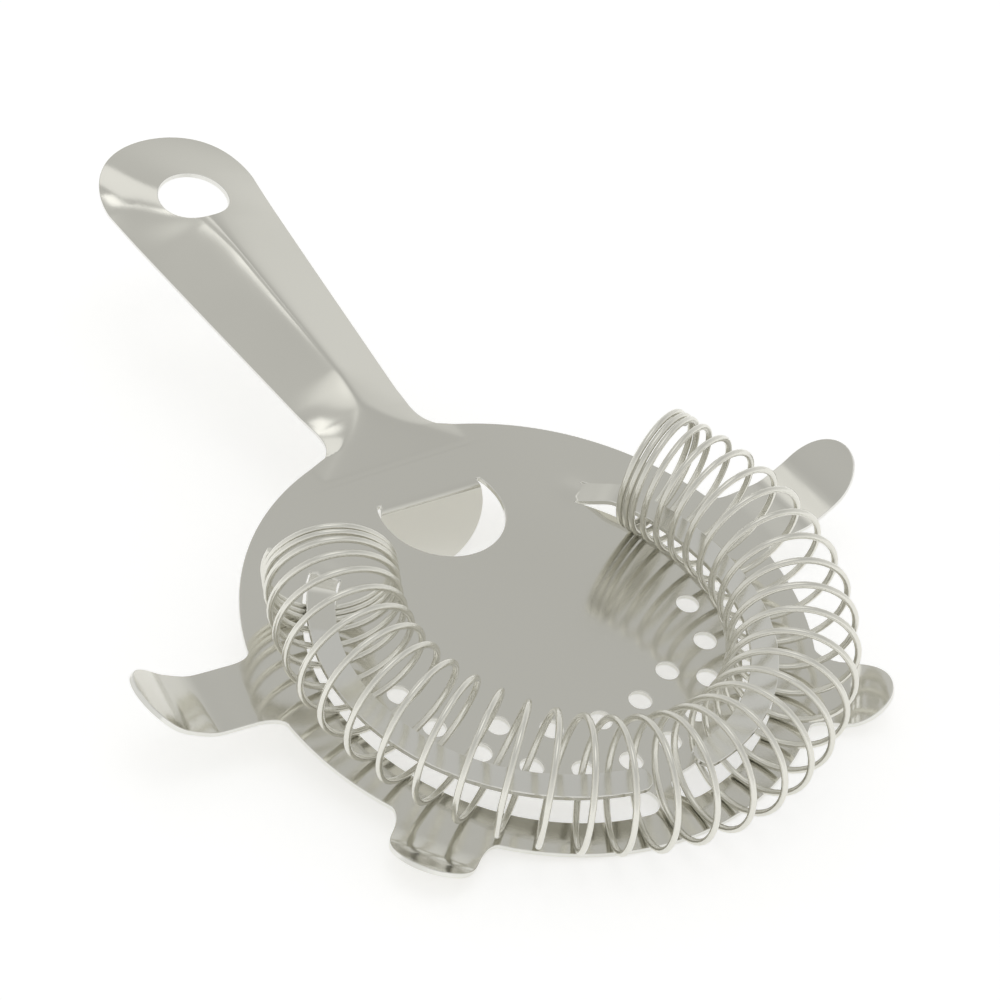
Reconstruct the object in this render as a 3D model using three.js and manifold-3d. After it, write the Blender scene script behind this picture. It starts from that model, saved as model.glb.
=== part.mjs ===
// Hawthorne strainer: one pressed steel sheet that carries one coil spring.
// The sheet is laid out in its own frame: disc centre at the origin, z = 0 on the spring side,
// +x away from the handle. The whole strainer is then tipped so that it stands on a flat
// surface on its finger tab and the front of its rim. Millimetres, +Z up.
import * as THREE from 'three';
import { mergeVertices } from 'three/addons/utils/BufferGeometryUtils.js';
import Module from 'manifold-3d';

const wasm = await Module();
wasm.setup();

// ---- driving dimensions ----
const SHEET = 0.9; // sheet thickness
const GAP = 0.2; // saw-thin gap between neighbouring zones of the pressing
const DISC_R = 46;
const CREASE_X = -40; // where the disc bends into the neck

// the round holes and the tab are turned this much (degrees) about the disc centre from the handle's line
const PIERCE_TURN = -2.2;
const HOLE_R = 1.85;
const OUTER_HOLES = { count: 11, centreX: 2.6, radius: 27, step: 17.14 };
const INNER_HOLES = { count: 5, centreX: -6.7, radius: 27.4, step: 17.5 };

const TAB = { foldX: -32, arcX: -27.9, arcR: 10.5, bendR: 1.5, angle: 70, clearance: 0.7 };

const FINGER = { centreX: 2.6, innerR: 32.7, outerR: 37.2, rootDeg: 135.5, tipDeg: 7, clearance: 0.3 };
// height of a finger's upper face above the disc, at angles from the front centre line
const FINGER_RISE = [
  [135.5, 0], [131, 1.2], [125, 2.5], [101, 2.6], [90, 2.85], [60, 3.9], [40, 4.9], [20, 5.7], [7, 6.1],
];

const EAR_ROOT_R = 48.4;
const EAR_ROOT_FLARE = 1.6; // how much wider than its lug each ear leaves the disc
const EAR_PAIRS = [
  { pair: 'front', angle: 50.5, half: 6.8, reach: 57.3, rise: [[0, 0], [0.3, 0.4], [1, 3.6]] },
  { pair: 'side', angle: 97.2, half: 6, reach: 68, rise: [[0, 0], [0.35, -0.4], [0.6, 1.2], [1, 7.3]] },
];
const HANDS = [['left', -1], ['right', 1]];

const HANDLE = {
  neckX: -44.7, // the neck leaves the disc here
  waistX: -50,
  apexX: -51, // the centre ridge starts here
  splitX: -92, // between the blade and the eye end
  eyeX: -105.8,
  eyeR: 6.1,
  endX: -109.1, // centre of the round end
  endR: 14.3,
  waistHalf: 9,
};
// height of the ridge and of the two side edges along the handle
const RIDGE_Z = [[-40, 0], [-51, 2.7], [-60, 3.7], [-80, 3.9], [-100, 4], [-123.4, 1.5]];
const EDGE_Z = [[-40, 0], [-45, 0.6], [-50, 0.4], [-56, 0], [-80, 0], [-96, 0.5], [-123.4, 1.5]];

const COIL = { centreX: 3.6, halfX: 39, halfY: 36.3, height: 10.65, turnR: 10, wireR: 0.53 };
const COIL_LEAN = 0.6; // how far the top of each turn is carried along the coil, and its foot back
const COIL_TUCK = 1.6; // how far the coil's two ends close in from the horseshoe's line
const PITCH_SPREAD = 0.12; // the pitch is this share wider than average at the front
const CLOSED_PITCH = 1.2;
const OPEN_FROM = 3; // turn numbers between which the coil is open
const OPEN_TO = 35;
const OPEN_HALF_ANGLE = 115.4;
const OPEN_MIDDLE_ANGLE = -1.4; // the left end reaches a little further back than the right
const FIRST_TURN = 0.45;
const LAST_TURN = 37.45;
const STEPS_PER_TURN = 14;
const WIRE_SIDES = 6;
const SPRING_SECTIONS = [
  ['spring_end_left', FIRST_TURN, 4],
  ['spring_arm_left_rear', 4, 8],
  ['spring_arm_left_fore', 8, 11],
  ['spring_front_left', 11, 16],
  ['spring_front_centre', 16, 22],
  ['spring_front_right', 22, 27],
  ['spring_arm_right_fore', 27, 30],
  ['spring_arm_right_rear', 30, 34],
  ['spring_end_right', 34, LAST_TURN],
];

const STAND_TILT = 9.1; // degrees, front down
const STAND_SHIFT = [33.862, 0, 8.164];

// ---- materials ----
const sheetSteel = (tone) => new THREE.MeshStandardMaterial({ color: tone, roughness: 0.28, metalness: 1 });
const wireSteel = () => new THREE.MeshStandardMaterial({ color: 0xd2d1c6, roughness: 0.22, metalness: 1 });

// ---- helpers ----
const radians = THREE.MathUtils.degToRad;

// straight-line reading of a list of [position, value] pairs, in rising or falling order
function along(table, position) {
  for (let i = 1; i < table.length; i += 1) {
    const [p0, v0] = table[i - 1];
    const [p1, v1] = table[i];
    const share = (position - p0) / (p1 - p0);
    if (share <= 1 || i === table.length - 1) {
      return v0 + (v1 - v0) * Math.max(share, 0);
    }
  }
  return table[0][1];
}

function evenly(from, to, count) {
  return Array.from({ length: count + 1 }, (_, i) => from + ((to - from) * i) / count);
}

function signedVolume(positions, faces) {
  let sum = 0;
  const corner = [new THREE.Vector3(), new THREE.Vector3(), new THREE.Vector3()];
  for (let i = 0; i < faces.length; i += 3) {
    corner.forEach((c, k) => c.fromArray(positions, faces[i + k] * 3));
    sum += corner[0].dot(corner[1].cross(corner[2]));
  }
  return sum;
}

// A piece of formed sheet as one closed solid. place(row, column, depth) gives each point:
// depth 0 on the spring side and 1 on the other side.
function formedSheet(rows, columns, place) {
  const positions = [];
  const index = (r, c, d) => (r * columns.length + c) * 2 + d;
  for (const row of rows) {
    for (const column of columns) {
      for (const depth of [0, 1]) {
        positions.push(...place(row, column, depth).toArray());
      }
    }
  }
  const faces = [];
  const quad = (a, b, c, d) => faces.push(a, b, c, a, c, d);
  const lastR = rows.length - 1;
  const lastC = columns.length - 1;
  for (let r = 0; r < lastR; r += 1) {
    for (let c = 0; c < lastC; c += 1) {
      quad(index(r, c, 0), index(r + 1, c, 0), index(r + 1, c + 1, 0), index(r, c + 1, 0));
      quad(index(r, c, 1), index(r, c + 1, 1), index(r + 1, c + 1, 1), index(r + 1, c, 1));
    }
    quad(index(r, 0, 0), index(r, 0, 1), index(r + 1, 0, 1), index(r + 1, 0, 0));
    quad(index(r, lastC, 0), index(r + 1, lastC, 0), index(r + 1, lastC, 1), index(r, lastC, 1));
  }
  for (let c = 0; c < lastC; c += 1) {
    quad(index(0, c, 0), index(0, c + 1, 0), index(0, c + 1, 1), index(0, c, 1));
    quad(index(lastR, c, 0), index(lastR, c, 1), index(lastR, c + 1, 1), index(lastR, c + 1, 0));
  }
  if (signedVolume(positions, faces) < 0) {
    faces.reverse();
  }
  const geometry = new THREE.BufferGeometry();
  geometry.setAttribute('position', new THREE.Float32BufferAttribute(positions, 3));
  geometry.setIndex(faces);
  return geometry;
}

function toManifold(geometry) {
  const bare = geometry.clone();
  bare.deleteAttribute('normal');
  bare.deleteAttribute('uv');
  const merged = mergeVertices(bare, 1e-5);
  return new wasm.Manifold(
    new wasm.Mesh({
      numProp: 3,
      vertProperties: new Float32Array(merged.attributes.position.array),
      triVerts: new Uint32Array(merged.index.array),
    }),
  );
}

function fromManifold(solid) {
  const { vertProperties, triVerts } = solid.getMesh();
  const geometry = new THREE.BufferGeometry();
  geometry.setAttribute('position', new THREE.Float32BufferAttribute(vertProperties, 3));
  geometry.setIndex(Array.from(triVerts));
  return geometry;
}

// ---- strainer plate: the flat disc with its holes, the tab's opening and the fingers' slots ----
function pierced(x, y) {
  return new THREE.Vector2(x, y).rotateAround(new THREE.Vector2(), radians(PIERCE_TURN));
}

function holeRow({ count, centreX, radius, step }) {
  return evenly(-(count - 1) / 2, (count - 1) / 2, count - 1).map((i) => {
    const angle = radians(i * step);
    const centre = pierced(centreX + radius * Math.cos(angle), radius * Math.sin(angle));
    return new THREE.Path().absarc(centre.x, centre.y, HOLE_R, 0, 2 * Math.PI, false);
  });
}

function tabOpening() {
  const { foldX, arcX, arcR } = TAB;
  const end = Math.acos((foldX - arcX) / arcR);
  const centre = pierced(arcX, 0);
  const turn = radians(PIERCE_TURN);
  return new THREE.Path().absarc(centre.x, centre.y, arcR, turn - end, turn + end, false).closePath();
}

function fingerSlot(side) {
  const { centreX, innerR, outerR, rootDeg, tipDeg, clearance } = FINGER;
  const root = side * radians(rootDeg + 0.4);
  const tip = side * radians(tipDeg);
  const middle = (innerR + outerR) / 2;
  const tipHalf = (outerR - innerR) / 2 + clearance;
  const path = new THREE.Path();
  path.absarc(centreX, 0, outerR + clearance, root, tip, side > 0);
  const from = tip;
  const tipX = centreX + middle * Math.cos(tip);
  path.absarc(tipX, middle * Math.sin(tip), tipHalf, from, from - side * Math.PI, side > 0);
  path.absarc(centreX, 0, innerR - clearance, tip, root, side < 0);
  return path.closePath();
}

function discOutline() {
  const outline = new THREE.Shape();
  const start = Math.acos(CREASE_X / DISC_R);
  let from = -start;
  const lugs = HANDS.flatMap(([, side]) => EAR_PAIRS.map(({ angle, half }) => [side * angle, half]));
  for (const [turn, half] of lugs.sort((a, b) => a[0] - b[0])) {
    const centre = radians(turn);
    const rootHalfAngle = Math.asin((half + EAR_ROOT_FLARE) / DISC_R);
    outline.absarc(0, 0, DISC_R, from, centre - rootHalfAngle, false);
    const out = new THREE.Vector2(Math.cos(centre), Math.sin(centre));
    const across = new THREE.Vector2(-out.y, out.x);
    for (const side of [-1, 1]) {
      const corner = out.clone().multiplyScalar(EAR_ROOT_R).addScaledVector(across, side * half);
      outline.lineTo(corner.x, corner.y);
    }
    from = centre + rootHalfAngle;
  }
  outline.absarc(0, 0, DISC_R, from, start, false);
  return outline;
}

function strainerPlate() {
  const outline = discOutline();
  outline.holes.push(...holeRow(OUTER_HOLES), ...holeRow(INNER_HOLES));
  outline.holes.push(tabOpening(), fingerSlot(-1), fingerSlot(1));
  const settings = { depth: SHEET, bevelEnabled: false, curveSegments: 12 };
  return new THREE.ExtrudeGeometry(outline, settings).translate(0, 0, -SHEET);
}

// ---- finger tab: the disc-shaped flap bent down out of its opening ----
function fingerTab() {
  const { foldX, arcX, arcR, bendR, angle, clearance } = TAB;
  const bend = radians(angle);
  const bendLength = bendR * bend;
  const radius = arcR - clearance;
  const arcCentre = arcX - foldX;
  const reach = arcCentre + radius;
  const halfWidth = (u) => Math.sqrt(Math.max(radius ** 2 - (u - arcCentre) ** 2, 0.25));
  const rows = [0, 0.33, 0.66, 1].map((s) => GAP + s * (bendLength - GAP));
  for (const share of [0.15, 0.3, 0.45, 0.6, 0.72, 0.83, 0.91, 0.97, 1]) {
    rows.push(bendLength + share * (reach - bendLength));
  }
  const flap = formedSheet(rows, [-1, 0, 1], (u, v, depth) => {
    const turned = Math.min(u, bendLength) / bendR;
    const straight = Math.max(u - bendLength, 0);
    const x = foldX + bendR * Math.sin(turned) + straight * Math.cos(bend);
    const z = -bendR * (1 - Math.cos(turned)) - straight * Math.sin(bend);
    const down = depth * SHEET;
    return new THREE.Vector3(x - down * Math.sin(turned), v * halfWidth(u), z - down * Math.cos(turned));
  });
  return flap.rotateZ(radians(PIERCE_TURN));
}

// ---- ears: the rounded lugs round the disc, curled up at their tips ----
function ear({ angle, half, reach, rise }, side) {
  const centre = radians(side * angle);
  const out = new THREE.Vector3(Math.cos(centre), Math.sin(centre), 0);
  const across = new THREE.Vector3(-out.y, out.x, 0);
  const length = reach - EAR_ROOT_R;
  const roundFrom = length - half;
  const rows = evenly(GAP, roundFrom, 4);
  rows.push(...evenly(0.15, 0.5, 5).map((s) => roundFrom + half * Math.sin(s * Math.PI)));
  return formedSheet(rows, evenly(-1, 1, 2), (u, v, depth) => {
    const tip = Math.max(u - roundFrom, 0) / half;
    const halfHere = half * Math.sqrt(Math.max(1 - tip ** 2, 0.01));
    const point = out.clone().multiplyScalar(EAR_ROOT_R + u).addScaledVector(across, v * halfHere);
    point.z = along(rise, u / length) - depth * SHEET;
    return point;
  });
}

// ---- spring fingers: strips lanced out of the disc that the coil is threaded on ----
function springFinger(side) {
  const { centreX, innerR, outerR, rootDeg, tipDeg } = FINGER;
  const middle = (innerR + outerR) / 2;
  const half = (outerR - innerR) / 2;
  const roundDeg = THREE.MathUtils.radToDeg(half / middle);
  const rows = evenly(rootDeg, tipDeg + roundDeg, 26);
  rows.push(...evenly(0.17, 0.5, 3).map((s) => tipDeg + roundDeg * (1 - Math.sin(s * Math.PI))));
  return formedSheet(rows, [-1, 0, 1], (deg, v, depth) => {
    const tip = Math.max(tipDeg + roundDeg - deg, 0) / roundDeg;
    const radius = middle + v * half * Math.sqrt(Math.max(1 - tip ** 2, 0.04));
    const angle = side * radians(deg);
    const z = along(FINGER_RISE, deg) - depth * SHEET;
    return new THREE.Vector3(centreX + radius * Math.cos(angle), radius * Math.sin(angle), z);
  });
}

// ---- neck and handle: the sheet folded along a centre ridge, its side edges lower ----
function handleHalfWidth(x) {
  const { neckX, waistX, endX, endR, waistHalf } = HANDLE;
  const taper = (endR - waistHalf) / (endX - waistX);
  if (x > neckX) {
    return Math.sqrt(DISC_R ** 2 - x ** 2);
  }
  if (x > waistX) {
    const share = (x - waistX) / (neckX - waistX);
    const cornerHalf = Math.sqrt(DISC_R ** 2 - neckX ** 2);
    return waistHalf + (cornerHalf - waistHalf) * share ** 3;
  }
  if (x > endX) {
    return waistHalf + taper * (x - waistX);
  }
  return Math.sqrt(Math.max(endR ** 2 - (x - endX) ** 2, 0.25));
}

function handleSheet(rows) {
  const columns = [-1, -0.6, -0.12, 0.12, 0.6, 1];
  return formedSheet(rows, columns, (x, v, depth) => {
    const ridge = along(RIDGE_Z, x);
    const edge = along(EDGE_Z, x);
    const fall = Math.max(Math.abs(v) - 0.12, 0) / 0.88;
    return new THREE.Vector3(x, v * handleHalfWidth(x), ridge + (edge - ridge) * fall - depth * SHEET);
  });
}

function neck() {
  const { neckX, waistX, apexX } = HANDLE;
  return handleSheet([...evenly(CREASE_X - GAP, neckX, 4), ...evenly(neckX - 1, waistX, 4), apexX]);
}

function handleBlade() {
  return handleSheet(evenly(HANDLE.apexX - GAP, HANDLE.splitX, 6));
}

function handleEye() {
  const { splitX, endX, endR, eyeX, eyeR } = HANDLE;
  const roundEnd = evenly(0.08, 0.48, 8).map((s) => endX - endR * Math.sin(s * Math.PI));
  const sheet = handleSheet([splitX - GAP, -96, -100, endX, ...roundEnd]);
  const punch = new THREE.CylinderGeometry(eyeR, eyeR, 40, 32).rotateX(Math.PI / 2).translate(eyeX, 0, 0);
  return fromManifold(toManifold(sheet).subtract(toManifold(punch)));
}

// ---- coil spring: one wire wound round an open horseshoe ----
class CoilWire extends THREE.Curve {
  constructor(fromTurn, toTurn) {
    super();
    this.fromTurn = fromTurn;
    this.toTurn = toTurn;
  }

  getPoint(t, target = new THREE.Vector3()) {
    const turn = this.fromTurn + t * (this.toTurn - this.fromTurn);
    const open = THREE.MathUtils.clamp(turn, OPEN_FROM, OPEN_TO);
    const share = (2 * (open - OPEN_FROM)) / (OPEN_TO - OPEN_FROM) - 1;
    const spread = share * (1 + PITCH_SPREAD) - PITCH_SPREAD * share ** 5;
    const angle = radians(OPEN_MIDDLE_ANGLE + OPEN_HALF_ANGLE * spread);
    const { centreX, halfX, halfY, height, turnR } = COIL;
    const tangent = new THREE.Vector3(-halfX * Math.sin(angle), halfY * Math.cos(angle), 0).normalize();
    const outward = new THREE.Vector3(tangent.y, -tangent.x, 0);
    const around = 2 * Math.PI * turn;
    const tuck = COIL_TUCK * THREE.MathUtils.smoothstep(Math.abs(share), 0.6, 1);
    target.set(centreX + halfX * Math.cos(angle), halfY * Math.sin(angle), height);
    target.addScaledVector(tangent, (turn - open) * CLOSED_PITCH + COIL_LEAN * Math.sin(around));
    target.addScaledVector(outward, -tuck - turnR * Math.cos(around));
    target.z += turnR * Math.sin(around);
    return target;
  }
}

function springSection(from, to) {
  const cut = 0.15 / (2 * Math.PI * COIL.turnR);
  const corners = evenly(0, 2 * Math.PI, WIRE_SIDES)
    .slice(0, WIRE_SIDES)
    .map((a) => new THREE.Vector2(COIL.wireR * Math.cos(a), COIL.wireR * Math.sin(a)));
  return new THREE.ExtrudeGeometry(new THREE.Shape(corners), {
    steps: Math.round((to - from) * STEPS_PER_TURN),
    extrudePath: new CoilWire(from + cut, to - cut),
  });
}

// ---- assembly ----
const strainer = new THREE.Group();
strainer.rotation.y = radians(STAND_TILT);
strainer.position.fromArray(STAND_SHIFT);

function add(name, geometry, material) {
  const mesh = new THREE.Mesh(geometry, material);
  mesh.name = name;
  strainer.add(mesh);
}

add('strainer_plate', strainerPlate(), sheetSteel(0xb0b1aa));
add('finger_tab', fingerTab(), sheetSteel(0xb6b1a5));
add('neck', neck(), sheetSteel(0xb2afa2));
add('handle_blade', handleBlade(), sheetSteel(0xc0bfb6));
add('handle_eye', handleEye(), sheetSteel(0xbab9ae));
for (const [hand, side] of HANDS) {
  for (const lug of EAR_PAIRS) {
    add(`ear_${lug.pair}_${hand}`, ear(lug, side), sheetSteel(0xaeaca1));
  }
  add(`spring_finger_${hand}`, springFinger(side), sheetSteel(0xc6c4b8));
}
for (const [name, from, to] of SPRING_SECTIONS) {
  add(name, springSection(from, to), wireSteel());
}

const group = new THREE.Group();
group.add(strainer);
export default group;
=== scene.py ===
import math

import bpy
import numpy as np
from mathutils import Matrix, Vector
from mathutils.geometry import delaunay_2d_cdt
from mathutils.kdtree import KDTree


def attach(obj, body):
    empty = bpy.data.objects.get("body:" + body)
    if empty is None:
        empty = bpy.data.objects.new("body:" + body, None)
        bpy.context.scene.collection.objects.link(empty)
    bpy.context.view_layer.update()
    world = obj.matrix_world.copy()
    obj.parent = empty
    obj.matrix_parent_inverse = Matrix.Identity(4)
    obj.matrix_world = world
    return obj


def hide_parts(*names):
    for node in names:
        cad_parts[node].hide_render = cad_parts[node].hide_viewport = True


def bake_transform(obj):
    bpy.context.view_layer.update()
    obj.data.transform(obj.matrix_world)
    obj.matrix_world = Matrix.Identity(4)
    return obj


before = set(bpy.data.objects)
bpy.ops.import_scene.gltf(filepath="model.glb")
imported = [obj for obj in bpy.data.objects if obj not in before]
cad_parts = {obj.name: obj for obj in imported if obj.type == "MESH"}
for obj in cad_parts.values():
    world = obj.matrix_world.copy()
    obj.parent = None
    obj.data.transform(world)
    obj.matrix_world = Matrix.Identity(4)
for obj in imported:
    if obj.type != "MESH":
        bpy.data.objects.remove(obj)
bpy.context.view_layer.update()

# ---- dimensions, in millimetres in the sheet's own frame: disc centre at the origin, +x away
# from the handle, z = 0 on the coil's side ----
SHEET = 0.9
ROUNDING = 0.14  # of the sheet's cut edges
DISC_R = 46.0
CREASE_X = -40.0
PIERCE_TURN = math.radians(-2.2)
HOLE_R = 1.85
# rows of drain holes: how many, the row's centre and radius, and degrees from one hole to the next
HOLE_ROWS = [(11, 2.6, 27.0, 17.14), (5, -6.7, 27.4, 17.5)]
TAB = dict(fold_x=-32.0, arc_x=-27.9, opening_r=10.5, flap_r=9.8, bend_r=1.5, angle=math.radians(70))
FINGER = dict(centre_x=2.6, inner_r=32.7, outer_r=37.2, root=135.5, tip=7.0, gap=0.3)
FINGER_SHEEN = 0.8  # share of the cut edges' brighter colour given to the fingers: a painted sheen for the light the lifted fingers catch
FINGER_SHEEN_REACH = 112  # degrees from the front centre line to the end of the fingers' painted sheen
FINGER_RISE = [
    (7, 6.1), (20, 5.7), (40, 4.9), (60, 3.9), (90, 2.85), (101, 2.6), (125, 2.5), (131, 1.2), (135.5, 0),
]
EARS = [
    dict(angle=50.5, half=6.8, reach=57.3, rise=[(0, 0), (0.3, 0.4), (1, 3.6)]),
    dict(angle=97.2, half=6.0, reach=68.0, rise=[(0, 0), (0.35, -0.4), (0.6, 1.2), (1, 7.3)]),
]
EAR_ROOT_R = 48.4
EAR_FLARE = 1.6
DIMPLE = dict(polar_r=34.9, past_root=1.5, height=0.16, radius=2.4)  # the low swelling at a finger's root
HANDLE = dict(neck_x=-44.7, waist_x=-50.0, waist_half=9.0, end_x=-109.1, end_r=14.3, eye_x=-105.8, eye_r=6.1)
# heights against distance from the disc centre along the handle
RIDGE = [(40, 2.45), (51, 2.75), (60, 3.7), (80, 3.9), (100, 4.1), (123.4, 1.5)]
EDGE = [(40, 0.6), (45, 0.6), (50, 0.4), (56, 0.0), (80, 0.0), (100, 0.1), (123.4, 1.5)]
NECK_SLOPE = 0.245
CREASE_LEAD = 1.2  # the neck's forming starts this far in front of its crease
CREASE_SOFT, PANEL_SOFT, FOOT_SOFT = 0.12, 0.22, 0.08  # how gently the neck's faces run into each other
NECK_FOOT = dict(start=49, length=8, drop=6)  # where the neck's flanks run out into the handle
CREST_WIDTH = [(40, 0.9), (60, 0.7), (88, 0.9), (98, 2.2), (109, 11.0), (123.4, 14.0)]
COIL = dict(centre_x=3.6, half_x=39.0, half_y=36.3, height=10.65, turn_r=10.0, wire_r=0.53)
LEAN, TUCK, PITCH_SPREAD, CLOSED_PITCH = 0.6, 1.6, 0.12, 1.2
TUCK_FROM = 0.6  # share of the way from the front to either end, where the turns start to draw in
OPEN_FROM, OPEN_TO = 3, 35  # the coil is stretched open between these turns and closed beyond them
OPEN_MIDDLE_ANGLE, OPEN_HALF_ANGLE = math.radians(-1.4), math.radians(115.4)
FIRST_TURN, LAST_TURN = 0.45, 37.45

STAND_TILT = math.radians(9.1)
STAND_SHIFT = np.array([33.862, 0.0, 8.164])
STAND_TURN = np.array([
    [math.cos(STAND_TILT), 0, math.sin(STAND_TILT)],
    [0, 1, 0],
    [-math.sin(STAND_TILT), 0, math.cos(STAND_TILT)],
])


def to_world(points):
    """Sheet-frame millimetres to the row frame's metres."""
    return (np.atleast_2d(points) @ STAND_TURN.T + STAND_SHIFT) / 1000


def smooth_table(table, t, start_slope=None):
    """A smooth curve through (position, value) pairs that never overshoots them."""
    x, y = np.array(table, float).T
    h = np.diff(x)
    d = np.diff(y) / h
    m = np.zeros(len(x))
    for i in range(1, len(h)):
        if d[i - 1] * d[i] > 0:
            a, b = 2 * h[i] + h[i - 1], h[i] + 2 * h[i - 1]
            m[i] = (a + b) / (a / d[i - 1] + b / d[i])
    m[0] = d[0] if start_slope is None else start_slope
    m[-1] = d[-1]
    t = np.clip(t, x[0], x[-1])
    i = np.clip(np.searchsorted(x, t, side="right") - 1, 0, len(h) - 1)
    s = (t - x[i]) / h[i]
    return (
        y[i] * (1 + 2 * s) * (1 - s) ** 2
        + y[i + 1] * s * s * (3 - 2 * s)
        + h[i] * (m[i] * s * (1 - s) ** 2 - m[i + 1] * s * s * (1 - s))
    )


def smooth_min(a, b, k):
    return 0.5 * (a + b - np.sqrt((a - b) ** 2 + k * k))


def smooth_max(a, b, k):
    return 0.5 * (a + b + np.sqrt((a - b) ** 2 + k * k))


# ---- the flat blank: closed outlines, sampled finely ----
STEP = 0.7


def arc(centre, radius, start, end, step=STEP):
    count = max(3, int(abs(end - start) * radius / step))
    a = np.linspace(start, end, count + 1)
    return np.column_stack([centre[0] + radius * np.cos(a), centre[1] + radius * np.sin(a)])


def line(p, q, step=STEP):
    count = max(1, int(np.hypot(*(np.array(q) - p)) / step))
    return np.linspace(p, q, count + 1)


def quadratic(p, q, r, count=6):
    t = np.linspace(0, 1, count + 1)[:, None]
    return (1 - t) ** 2 * np.array(p) + 2 * t * (1 - t) * np.array(q) + t * t * np.array(r)


def join(*runs):
    points = np.vstack(runs)
    keep = np.hypot(*(points - np.roll(points, 1, 0)).T) > 0.02
    return points[keep]


def about(points, angle):
    """Points turned about the disc's centre."""
    c, s = math.cos(angle), math.sin(angle)
    return np.atleast_2d(points) @ np.array([[c, s], [-s, c]])


def handle_half(x):
    """Half the width of the neck and handle at x."""
    share = np.clip((x - HANDLE["waist_x"]) / (HANDLE["neck_x"] - HANDLE["waist_x"]), 0, 1)
    corner = math.sqrt(DISC_R**2 - HANDLE["neck_x"] ** 2)
    taper = (HANDLE["end_r"] - HANDLE["waist_half"]) / (HANDLE["end_x"] - HANDLE["waist_x"])
    back = np.clip(x, HANDLE["end_x"], HANDLE["waist_x"]) - HANDLE["waist_x"]
    return HANDLE["waist_half"] + taper * back + (corner - HANDLE["waist_half"]) * share**3


def ear_outline(ear, side):
    centre = side * math.radians(ear["angle"])
    half, reach = ear["half"], ear["reach"]
    spread = math.asin((half + EAR_FLARE) / DISC_R)
    root = DISC_R * np.array([math.cos(spread), math.sin(spread)])
    upper = join(
        quadratic(root, (math.sqrt(DISC_R**2 - half**2) + 0.5, half + 0.15), (EAR_ROOT_R + 0.9, half)),
        line((EAR_ROOT_R + 0.9, half), (reach - half, half)),
        arc((reach - half, 0), half, math.pi / 2, 0),
    )
    whole = np.vstack([upper * (1, -1), upper[::-1][1:]])
    return about(whole, centre), centre - spread, centre + spread


def blank_outline():
    corner = math.acos(HANDLE["neck_x"] / DISC_R)
    runs, start = [], -corner
    lugs = sorted((side * e["angle"], side, i) for i, e in enumerate(EARS) for side in (-1, 1))
    for _, side, i in lugs:
        points, low, high = ear_outline(EARS[i], side)
        runs += [arc((0, 0), DISC_R, start, low), points]
        start = high
    runs.append(arc((0, 0), DISC_R, start, corner))
    neck_xs = np.linspace(HANDLE["neck_x"], HANDLE["waist_x"], 10)
    blade_xs = np.linspace(HANDLE["waist_x"] - STEP, HANDLE["end_x"], 84)
    xs = np.concatenate([neck_xs, blade_xs])
    side_line = np.column_stack([xs, handle_half(xs)])
    tip = arc((HANDLE["end_x"], 0), HANDLE["end_r"], math.pi / 2, 3 * math.pi / 2)
    runs += [side_line, tip, side_line[::-1] * (1, -1)]
    return join(*runs)


def finger_gap(side):
    f = FINGER
    root, tip = math.radians(f["root"] + 0.4), math.radians(f["tip"])
    middle, half = (f["inner_r"] + f["outer_r"]) / 2, (f["outer_r"] - f["inner_r"]) / 2
    centre = (f["centre_x"], 0)
    slot_end = (centre[0] + middle * math.cos(tip), middle * math.sin(tip))
    nose = tip + half / middle
    nose_at = (centre[0] + middle * math.cos(nose), middle * math.sin(nose))
    points = join(
        arc(centre, f["outer_r"] + f["gap"], root, tip),
        arc(slot_end, half + f["gap"], tip, tip - math.pi),
        arc(centre, f["inner_r"] - f["gap"], tip, root),
        arc(centre, f["inner_r"], root, nose),
        arc(nose_at, half, nose - math.pi, nose, 0.5),
        arc(centre, f["outer_r"], nose, root),
    )
    return points * (1, side)


def tab_gap():
    t = TAB
    centre = (t["arc_x"], 0)
    far = math.acos((t["fold_x"] - t["arc_x"]) / t["opening_r"])
    near = math.acos((t["fold_x"] - t["arc_x"]) / t["flap_r"])
    points = join(arc(centre, t["opening_r"], -far, far), arc(centre, t["flap_r"], near, -near))
    return about(points, PIERCE_TURN)


def round_holes():
    loops = []
    for count, centre_x, radius, step in HOLE_ROWS:
        for i in range(count):
            a = math.radians((i - (count - 1) / 2) * step)
            at = about((centre_x + radius * math.cos(a), radius * math.sin(a)), PIERCE_TURN)[0]
            loops.append(arc(at, HOLE_R, 0, 2 * math.pi, 0.3)[:-1])
    loops.append(arc((HANDLE["eye_x"], 0), HANDLE["eye_r"], 0, 2 * math.pi, 0.5)[:-1])
    return loops


def area(loop):
    x, y = loop.T
    return 0.5 * np.sum(x * np.roll(y, -1) - y * np.roll(x, -1))


def inside(points, loops):
    """Even-odd test of points against all the outlines."""
    hit = np.zeros(len(points), bool)
    for loop in loops:
        for (x0, y0), (x1, y1) in zip(loop, np.roll(loop, -1, 0)):
            if y0 == y1:
                continue
            crosses = (points[:, 1] > min(y0, y1)) & (points[:, 1] <= max(y0, y1))
            hit ^= crosses & (points[:, 0] < x0 + (points[:, 1] - y0) * (x1 - x0) / (y1 - y0))
    return hit


# ---- forming: where each point of the blank goes ----
PLATE, LEFT_FINGER, RIGHT_FINGER, FLAP = range(4)


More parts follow.
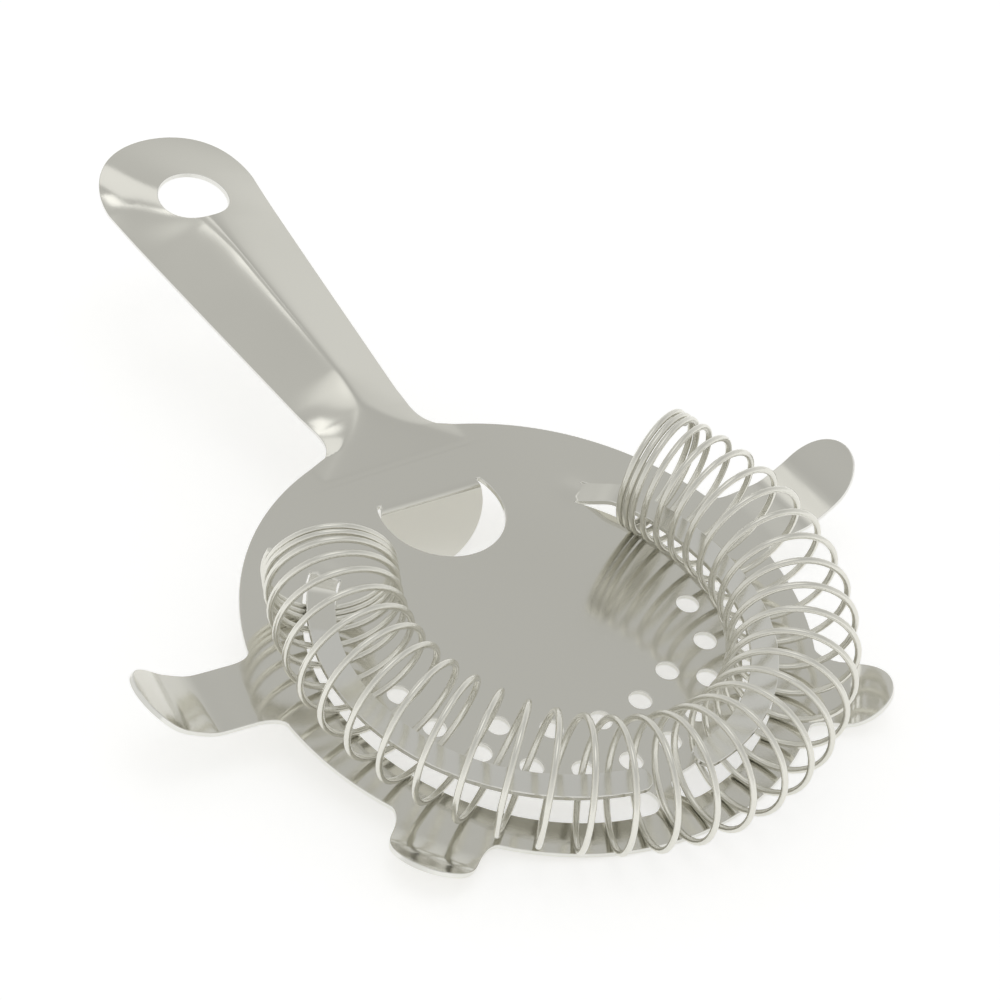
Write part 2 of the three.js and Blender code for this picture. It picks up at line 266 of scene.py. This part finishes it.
def zone_of(p):
    """Which zone each point of the blank belongs to: the plate, a finger or the flap."""
    polar = np.hypot(p[:, 0] - FINGER["centre_x"], p[:, 1])
    angle = np.degrees(np.arctan2(p[:, 1], p[:, 0] - FINGER["centre_x"]))
    mid_slit = FINGER["gap"] / 2
    strip = (polar > FINGER["inner_r"] - mid_slit) & (polar < FINGER["outer_r"] + mid_slit)
    strip &= (abs(angle) < FINGER["root"]) & (abs(angle) > FINGER["tip"] - 0.2)
    zone = np.where(strip, np.where(angle < 0, LEFT_FINGER, RIGHT_FINGER), PLATE)
    q = about(p, -PIERCE_TURN)
    flap = (np.hypot(q[:, 0] - TAB["arc_x"], q[:, 1]) < TAB["flap_r"] + 0.2) & (q[:, 0] > TAB["fold_x"])
    return np.where(flap, FLAP, zone)


def plate_height(p):
    """Height of the coil's side over the disc, ears, neck and handle."""
    x, y = p.T
    z = np.zeros(len(p))
    for ear in EARS:
        for side in (-1, 1):
            q = about(p, -side * math.radians(ear["angle"]))
            u = (q[:, 0] - EAR_ROOT_R) / (ear["reach"] - EAR_ROOT_R)
            near = (u > 0) & (abs(q[:, 1]) < ear["half"] + 1)
            lift = smooth_table(ear["rise"], u, 0.0)
            (inner_u, inner_z), (tip_u, tip_z) = ear["rise"][-2:]
            beyond = np.maximum(u - 1, 0) * (tip_z - inner_z) / (tip_u - inner_u)
            z = np.where(near, lift + beyond, z)
    root = math.radians(FINGER["root"] + DIMPLE["past_root"])
    along = FINGER["centre_x"] + DIMPLE["polar_r"] * math.cos(root)
    across = DIMPLE["polar_r"] * math.sin(root)
    for side in (-1, 1):
        away = np.hypot(x - along, y - side * across)
        z = z + DIMPLE["height"] * np.exp(-((away / DIMPLE["radius"]) ** 2))
    back = -x
    half = handle_half(x)
    crest = smooth_table(CREST_WIDTH, back)
    ridge, edge = smooth_table(RIDGE, back), smooth_table(EDGE, back)
    fall = (np.sqrt(y * y + crest**2) - crest) / (np.sqrt(half**2 + crest**2) - crest)
    panel = edge + (ridge - edge) * (1 - fall)
    ramp = NECK_SLOPE * 0.5 * (back + CREASE_X + np.sqrt((back + CREASE_X) ** 2 + CREASE_SOFT))
    floor = -NECK_FOOT["drop"] * np.clip((back - NECK_FOOT["start"]) / NECK_FOOT["length"], 0, 1)
    formed = smooth_max(floor, smooth_min(ramp, panel, PANEL_SOFT), FOOT_SOFT)
    return np.where(x < CREASE_X + CREASE_LEAD, formed, z)


def form(p, zone):
    """Blank points to points on the coil's side of the formed sheet."""
    x, y = p.T
    out = np.column_stack([x, y, plate_height(p)])
    angle = np.degrees(np.arctan2(abs(y), x - FINGER["centre_x"]))
    finger = (zone == LEFT_FINGER) | (zone == RIGHT_FINGER)
    out[finger, 2] = smooth_table(FINGER_RISE, angle)[finger]
    q = about(p, -PIERCE_TURN)
    u = q[:, 0] - TAB["fold_x"]
    r = TAB["bend_r"]
    turned = np.clip(u / r, 0, TAB["angle"])
    straight = np.maximum(u - r * TAB["angle"], 0)
    flap = zone == FLAP
    fx = TAB["fold_x"] + r * np.sin(turned) + straight * math.cos(TAB["angle"])
    fz = -r * (1 - np.cos(turned)) - straight * math.sin(TAB["angle"])
    back = about(np.column_stack([fx, q[:, 1]]), PIERCE_TURN)
    out[flap] = np.column_stack([back, fz])[flap]
    return out


def surface(p, zone):
    """Formed points and the unit normals on the coil's side."""
    e = 0.04
    dx = form(p + (e, 0), zone) - form(p - (e, 0), zone)
    dy = form(p + (0, e), zone) - form(p - (0, e), zone)
    n = np.cross(dx, dy)
    return form(p, zone), n / np.linalg.norm(n, axis=1)[:, None]


FINE, MIDDLE, COARSE = 0.45, 0.95, 2.6  # mesh spacings, from the crest to the flat plate
ROW_HEIGHT = 0.866  # of the spacing, between rows of the triangular grid
CLEARANCE = 0.55  # of the spacing, kept free along the outlines
GRID_X, GRID_Y = (-125, 60), (-70, 70)
# the spots that need a close mesh: ears, finger roots, crest and neck
CLOSE = dict(ears=47.2, root_x=-23.5, root_y=24.0, root_r=7, crest_half=2.2, neck_end=-54)


def spacing(p):
    """How far apart the mesh points are at each place on the blank: close where the sheet bends."""
    x, y = p.T
    handle = x < CREASE_X + 1.5
    crest = handle & ((abs(y) < CLOSE["crest_half"]) | (x > CLOSE["neck_end"]))
    ears = np.hypot(x, y) > CLOSE["ears"]
    roots = np.hypot(x - CLOSE["root_x"], abs(y) - CLOSE["root_y"]) < CLOSE["root_r"]
    pitch = np.where(ears | roots | handle | (zone_of(p) != PLATE), MIDDLE, COARSE)
    return np.where(crest, FINE, pitch)


def tab_bend_rows():
    """Rows of points along the tab's fold, from its start to where the flap is straight again."""
    rows = []
    for u in np.linspace(0.0, TAB["bend_r"] * TAB["angle"], 8):
        x = TAB["fold_x"] + u
        half = math.sqrt(TAB["flap_r"] ** 2 - (x - TAB["arc_x"]) ** 2) - 0.45
        rows.append(line((x, -half), (x, half), 0.6))
    return about(np.vstack(rows), PIERCE_TURN)


def in_tab_bend(p):
    q = about(p, -PIERCE_TURN)
    u = q[:, 0] - TAB["fold_x"]
    return (u > -0.3) & (u < TAB["bend_r"] * TAB["angle"] + 0.3) & (abs(q[:, 1]) < TAB["flap_r"])


def interior_points(loops):
    tree_points = np.vstack(loops)
    tree = KDTree(len(tree_points))
    for i, (x, y) in enumerate(tree_points):
        tree.insert((x, y, 0), i)
    tree.balance()
    kept = list(tab_bend_rows())
    for pitch in (FINE, MIDDLE, COARSE):
        across = np.arange(*GRID_X, pitch)
        rows = [
            np.column_stack([across + (i % 2) * pitch / 2, np.full(len(across), y)])
            for i, y in enumerate(np.arange(*GRID_Y, pitch * ROW_HEIGHT))
        ]
        grid = np.vstack(rows)
        grid = grid[(spacing(grid) == pitch) & ~in_tab_bend(grid)]
        grid = grid[inside(grid, loops)]
        kept += [p for p in grid if tree.find((p[0], p[1], 0))[2] > min(pitch, MIDDLE) * CLEARANCE]
    return np.array(kept)


def build_sheet():
    outer = blank_outline()
    holes = [finger_gap(1), finger_gap(-1), tab_gap(), *round_holes()]
    loops = [outer if area(outer) > 0 else outer[::-1]]
    loops += [h if area(h) < 0 else h[::-1] for h in holes]
    # the outlines drawn in by the edge rounding, with their outward normals
    outward, inset = [], []
    for loop in loops:
        ahead = np.roll(loop, -1, 0) - loop
        ahead /= np.linalg.norm(ahead, axis=1)[:, None]
        tangent = ahead + np.roll(ahead, 1, 0)
        tangent /= np.maximum(np.linalg.norm(tangent, axis=1), 0.3)[:, None]
        n = np.column_stack([tangent[:, 1], -tangent[:, 0]])
        outward.append(n)
        inset.append(loop - n * ROUNDING)
    inner = interior_points(inset)
    rim = np.vstack(inset)
    points = np.vstack([rim, inner])
    # triangles over the flat blank
    edges, start = [], 0
    for loop in inset:
        n = len(loop)
        edges += [(start + i, start + (i + 1) % n) for i in range(n)]
        start += n
    verts, _, faces, origin, _, _ = delaunay_2d_cdt([Vector(p) for p in points], edges, [], 0, 1e-5)
    back = [o[0] if o else -1 for o in origin]
    flat = np.array([tuple(v) for v in verts])
    tris = np.array([f for f in faces if len(f) == 3])
    mid = flat[tris].mean(1)
    tris = tris[inside(mid, inset)]
    tris = np.array([[back[i] for i in t] for t in tris])
    tris = tris[(tris >= 0).all(1)]
    a, b, c = points[tris[:, 0]], points[tris[:, 1]], points[tris[:, 2]]
    flip = np.cross(b - a, c - a) < 0
    tris[flip] = tris[flip][:, ::-1]

    # both faces of the formed sheet
    zone = zone_of(points)
    top, normal = surface(points, zone)
    n_points = len(points)
    co = [top, top - normal * SHEET]
    nrm = [normal, -normal]
    # the lifted fingers get a painted sheen: the cut edges' brighter colour, standing in for the light they
    # catch
    swept = np.degrees(np.arctan2(abs(points[:, 1]), points[:, 0] - FINGER["centre_x"]))
    sheen_mask = ((zone == LEFT_FINGER) | (zone == RIGHT_FINGER)) & (swept < FINGER_SHEEN_REACH)
    finger_sheen = np.where(sheen_mask, FINGER_SHEEN, 0.0)
    wear_and_sheen = [finger_sheen, finger_sheen]
    # the rounded edge: four rings from the coil's side to the underside
    quads = []
    base = 2 * n_points
    rim_zone = zone[: len(rim)]
    nominal, rim_out = np.vstack(loops), np.vstack(outward)
    slope = math.sqrt(0.5)
    profile = [
        (ROUNDING * (1 - slope), ROUNDING * (1 - slope), slope, slope),
        (0.0, ROUNDING, 1.0, 0.0),
        (0.0, SHEET - ROUNDING, 1.0, 0.0),
        (ROUNDING * (1 - slope), SHEET - ROUNDING * (1 - slope), slope, -slope),
    ]
    ring_start = []
    for pull, depth, out_share, up_share in profile:
        at = nominal - rim_out * pull
        p3, up = surface(at, rim_zone)
        nudge = rim_out * 0.05
        out3 = form(at + nudge, rim_zone) - form(at - nudge, rim_zone)
        out3 /= np.linalg.norm(out3, axis=1)[:, None]
        co.append(p3 - up * depth)
        nrm.append(out3 * out_share + up * up_share)
        # the cut edges take the brighter worn colour in full
        wear_and_sheen.append(np.ones(len(rim)))
        ring_start.append(base)
        base += len(rim)
    start = 0
    for loop in inset:
        n = len(loop)
        i = np.arange(n)
        j = (i + 1) % n
        chain = [np.array([start + i, start + j])]
        chain += [np.array([r + start + i, r + start + j]) for r in ring_start]
        chain.append(np.array([n_points + start + i, n_points + start + j]))
        for upper, lower in zip(chain, chain[1:]):
            quads.append(np.column_stack([upper[0], lower[0], lower[1], upper[1]]))
        start += n
    faces = [tuple(t) for t in tris.tolist()]
    faces += [tuple(t[::-1]) for t in (tris + n_points).tolist()]
    faces += [tuple(q) for q in np.vstack(quads).tolist()]
    co, nrm, wear_and_sheen = np.vstack(co), np.vstack(nrm), np.concatenate(wear_and_sheen)
    mesh = bpy.data.meshes.new("pressed_sheet")
    mesh.from_pydata(to_world(co).tolist(), [], faces)
    mesh.validate()
    mesh.shade_smooth()
    nrm = nrm @ STAND_TURN.T
    nrm /= np.linalg.norm(nrm, axis=1)[:, None]
    mesh.normals_split_custom_set_from_vertices(nrm.tolist())
    # brighter-colour share per point: worn cut edges and the fingers' painted sheen
    wear_and_sheen_attr = mesh.attributes.new("edge_wear_and_sheen", "FLOAT", "POINT")
    wear_and_sheen_attr.data.foreach_set("value", wear_and_sheen.astype(np.float32))
    sheet = bpy.data.objects.new("pressed_sheet", mesh)
    bpy.context.scene.collection.objects.link(sheet)
    return sheet


# ---- the coil: one wire ----
def coil_centre(turn):
    """Points on the wire's centre line at each turn number."""
    c = COIL
    opened = np.clip(turn, OPEN_FROM, OPEN_TO)
    share = 2 * (opened - OPEN_FROM) / (OPEN_TO - OPEN_FROM) - 1
    a = OPEN_MIDDLE_ANGLE + OPEN_HALF_ANGLE * (share * (1 + PITCH_SPREAD) - PITCH_SPREAD * share**5)
    t = np.column_stack([-c["half_x"] * np.sin(a), c["half_y"] * np.cos(a)])
    t /= np.linalg.norm(t, axis=1)[:, None]
    out = np.column_stack([t[:, 1], -t[:, 0]])
    around = 2 * math.pi * turn
    s = np.clip((abs(share) - TUCK_FROM) / (1 - TUCK_FROM), 0, 1)
    tuck = TUCK * s * s * (3 - 2 * s)
    middle = np.column_stack([c["centre_x"] + c["half_x"] * np.cos(a), c["half_y"] * np.sin(a)])
    middle += t * ((turn - opened) * CLOSED_PITCH + LEAN * np.sin(around))[:, None]
    middle -= out * (tuck + c["turn_r"] * np.cos(around))[:, None]
    return np.column_stack([middle, c["height"] + c["turn_r"] * np.sin(around)])


STEPS_PER_TURN = 44
END_CHAMFER = 0.0018  # of a turn, at each cut end of the wire
END_TAPER = 0.86  # of the wire's radius, at the very end


def swept_wire(name, centre, radius, sides=14):
    ahead = np.gradient(centre, axis=0)
    ahead /= np.linalg.norm(ahead, axis=1)[:, None]
    side = np.cross(ahead[0], (0, 0, 1.0))
    side /= np.linalg.norm(side)
    rings, normals = [], []
    angles = np.linspace(0, 2 * math.pi, sides, endpoint=False)
    for i, (at, t) in enumerate(zip(centre, ahead)):
        side = side - t * (side @ t)
        side /= np.linalg.norm(side)
        other = np.cross(t, side)
        spoke = np.outer(np.cos(angles), side) + np.outer(np.sin(angles), other)
        taper = END_TAPER if i in (0, len(centre) - 1) else 1.0
        rings.append(at + spoke * radius * taper)
        normals.append(spoke)
    n = len(centre)
    j = np.arange(sides)
    faces = []
    for i in range(n - 1):
        a, b = i * sides + j, i * sides + (j + 1) % sides
        faces += np.column_stack([a, b, b + sides, a + sides]).tolist()
    faces.append(list(range(sides))[::-1])
    faces.append(list(range((n - 1) * sides, n * sides)))
    mesh = bpy.data.meshes.new(name)
    mesh.from_pydata(to_world(np.vstack(rings)).tolist(), [], faces)
    mesh.shade_smooth()
    mesh.polygons[len(faces) - 1].use_smooth = False
    mesh.polygons[len(faces) - 2].use_smooth = False
    wire = bpy.data.objects.new(name, mesh)
    bpy.context.scene.collection.objects.link(wire)
    return wire


def build_coil():
    turn = np.linspace(FIRST_TURN, LAST_TURN, int(LAST_TURN - FIRST_TURN) * STEPS_PER_TURN + 1)
    first, last = turn[0] + END_CHAMFER, turn[-1] - END_CHAMFER
    turn = np.concatenate([turn[:1], [first], turn[1:-1], [last], turn[-1:]])
    return swept_wire("coil_spring", coil_centre(turn), COIL["wire_r"])


# ---- materials ----
# brighter colour of worn cut edges, also painted on the fingers as a sheen
WORN_AND_SHEEN_STEEL = (0.86, 0.86, 0.84, 1)
WEAR_AND_SHEEN_SHARE = 0.5


def node(tree, kind, **inputs):
    n = tree.nodes.new(kind)
    for key, value in inputs.items():
        n.inputs[key.replace("_", " ")].default_value = value
    return n


def steel(name, tint, dark, rough_low, rough_high, brushing, grain):
    """Polished stainless steel: rolled grain, faint smears, brighter worn edges and a painted sheen on the
    fingers.
    """
    material = bpy.data.materials.new(name)
    material.use_nodes = True
    t = material.node_tree
    shader = t.nodes["Principled BSDF"]
    shader.inputs["Metallic"].default_value = 1.0
    place = t.nodes.new("ShaderNodeTexCoord")
    stretch = t.nodes.new("ShaderNodeMapping")
    stretch.inputs["Scale"].default_value = (brushing[0], brushing[1], brushing[2])
    t.links.new(place.outputs["Object"], stretch.inputs["Vector"])
    lines = node(t, "ShaderNodeTexNoise", Scale=grain, Detail=5.0, Roughness=0.62)
    t.links.new(stretch.outputs["Vector"], lines.inputs["Vector"])
    smears = node(t, "ShaderNodeTexNoise", Scale=42.0, Detail=4.0, Roughness=0.55)
    t.links.new(place.outputs["Object"], smears.inputs["Vector"])
    broad = node(t, "ShaderNodeTexNoise", Scale=14.0, Detail=2.0)
    t.links.new(place.outputs["Object"], broad.inputs["Vector"])

    colour = t.nodes.new("ShaderNodeMix")
    colour.data_type = "RGBA"
    colour.inputs["A"].default_value = (*dark, 1)
    colour.inputs["B"].default_value = (*tint, 1)
    t.links.new(broad.outputs["Fac"], colour.inputs["Factor"])
    # brighter colour mixed in per point: wear on the cut edges, painted sheen on the fingers
    edge = t.nodes.new("ShaderNodeAttribute")
    edge.attribute_name = "edge_wear_and_sheen"
    worn_and_sheen = t.nodes.new("ShaderNodeMix")
    worn_and_sheen.data_type = "RGBA"
    worn_and_sheen.inputs["B"].default_value = WORN_AND_SHEEN_STEEL
    share = t.nodes.new("ShaderNodeMath")
    share.operation = "MULTIPLY"
    share.inputs[1].default_value = WEAR_AND_SHEEN_SHARE
    t.links.new(edge.outputs["Fac"], share.inputs[0])
    t.links.new(share.outputs[0], worn_and_sheen.inputs["Factor"])
    t.links.new(colour.outputs["Result"], worn_and_sheen.inputs["A"])
    t.links.new(worn_and_sheen.outputs["Result"], shader.inputs["Base Color"])

    rough = t.nodes.new("ShaderNodeMapRange")
    rough.inputs["From Min"].default_value = 0.3
    rough.inputs["From Max"].default_value = 0.7
    rough.inputs["To Min"].default_value = rough_low
    rough.inputs["To Max"].default_value = rough_high
    t.links.new(smears.outputs["Fac"], rough.inputs["Value"])
    t.links.new(rough.outputs["Result"], shader.inputs["Roughness"])

    bump = t.nodes.new("ShaderNodeBump")
    bump.inputs["Strength"].default_value = 0.12
    bump.inputs["Distance"].default_value = 0.00002
    t.links.new(lines.outputs["Fac"], bump.inputs["Height"])
    t.links.new(bump.outputs["Normal"], shader.inputs["Normal"])
    return material


sheet_steel = steel("sheet_steel", (0.74, 0.73, 0.675), (0.675, 0.665, 0.61), 0.085, 0.15, (3, 60, 20), 55.0)
wire_steel = steel("wire_steel", (0.80, 0.79, 0.73), (0.71, 0.70, 0.64), 0.19, 0.28, (40, 40, 40), 60.0)

sheet = build_sheet()
sheet.data.materials.append(sheet_steel)
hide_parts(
    "strainer_plate", "finger_tab", "neck", "handle_blade", "handle_eye",
    "ear_front_left", "ear_front_right", "ear_side_left", "ear_side_right",
    "spring_finger_left", "spring_finger_right",
)
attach(sheet, "strainer_body")

coil = build_coil()
coil.data.materials.append(wire_steel)
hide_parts(*[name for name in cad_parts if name.startswith("spring_") and "finger" not in name])
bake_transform(coil)

# ---- floor, light and camera ----
floor_material = bpy.data.materials.new("floor_paper")
floor_material.use_nodes = True
floor_shader = floor_material.node_tree.nodes["Principled BSDF"]
floor_shader.inputs["Base Color"].default_value = (0.8, 0.8, 0.8, 1)
floor_shader.inputs["Roughness"].default_value = 0.9
floor_shader.inputs["Emission Color"].default_value = (1, 1, 1, 1)
floor_shader.inputs["Emission Strength"].default_value = 0.44
floor_mesh = bpy.data.meshes.new("floor")
floor_mesh.from_pydata([(-3, -3, 0), (3, -3, 0), (3, 3, 0), (-3, 3, 0)], [], [(0, 1, 2, 3)])
floor = bpy.data.objects.new("floor", floor_mesh)
bpy.context.scene.collection.objects.link(floor)
floor.data.materials.append(floor_material)

world = bpy.data.worlds.new("studio")
bpy.context.scene.world = world
world.use_nodes = True
sky = world.node_tree
where = sky.nodes.new("ShaderNodeTexCoord")
split = sky.nodes.new("ShaderNodeSeparateXYZ")
ramp = sky.nodes.new("ShaderNodeValToRGB")
ramp.color_ramp.interpolation = "EASE"
# brightness against the sine of the height above the horizon
TENT = [
    (0.0, 0.84), (0.30, 0.84), (0.46, 0.76), (0.66, 0.67), (0.76, 0.61),
    (0.86, 0.59), (0.92, 0.65), (0.96, 0.95), (1.0, 1.25),
]
while len(ramp.color_ramp.elements) < len(TENT):
    ramp.color_ramp.elements.new(0.5)
for element, (height, level) in zip(ramp.color_ramp.elements, TENT):
    element.position = height
    element.color = (level, level, level * 0.985, 1)
sky.links.new(where.outputs["Generated"], split.inputs["Vector"])
sky.links.new(split.outputs["Z"], ramp.inputs["Fac"])
sky.links.new(ramp.outputs["Color"], sky.nodes["Background"].inputs["Color"])
sky.nodes["Background"].inputs["Strength"].default_value = 1.0


def softbox(name, location, aim, size, power):
    light = bpy.data.lights.new(name, "AREA")
    light.shape = "RECTANGLE"
    light.size, light.size_y = size
    light.energy = power
    lamp = bpy.data.objects.new(name, light)
    lamp.location = location
    lamp.rotation_euler = (Vector(aim) - Vector(location)).to_track_quat("-Z", "Y").to_euler()
    bpy.context.scene.collection.objects.link(lamp)


def from_direction(azimuth, height, distance=1.5):
    a, h = math.radians(azimuth), math.radians(height)
    return tuple(distance * np.array([math.cos(h) * math.cos(a), math.cos(h) * math.sin(a), math.sin(h)]))


softbox("crest_light", from_direction(174, 61), (0, 0, 0), (0.14, 0.11), 0.042)
softbox("eye_light", from_direction(160, 52), (0, 0, 0), (0.36, 0.32), 0.16)

camera_data = bpy.data.cameras.new("camera")
camera_data.lens = 144.0
camera_data.sensor_width = 36.0
camera_data.clip_start = 0.01
camera = bpy.data.objects.new("camera", camera_data)
CAMERA_AT = Vector((0.412951, -0.314925, 0.392192))
CAMERA_AIM = Vector((0.005920, 0.013132, 0.010))
CAMERA_ROLL = math.radians(7.17)
view = (CAMERA_AIM - CAMERA_AT).to_track_quat("-Z", "Y").to_matrix().to_4x4()
camera.matrix_world = Matrix.Translation(CAMERA_AT) @ view @ Matrix.Rotation(CAMERA_ROLL, 4, "Z")
bpy.context.scene.collection.objects.link(camera)
bpy.context.scene.camera = camera
bpy.context.scene.view_settings.view_transform = "Standard"
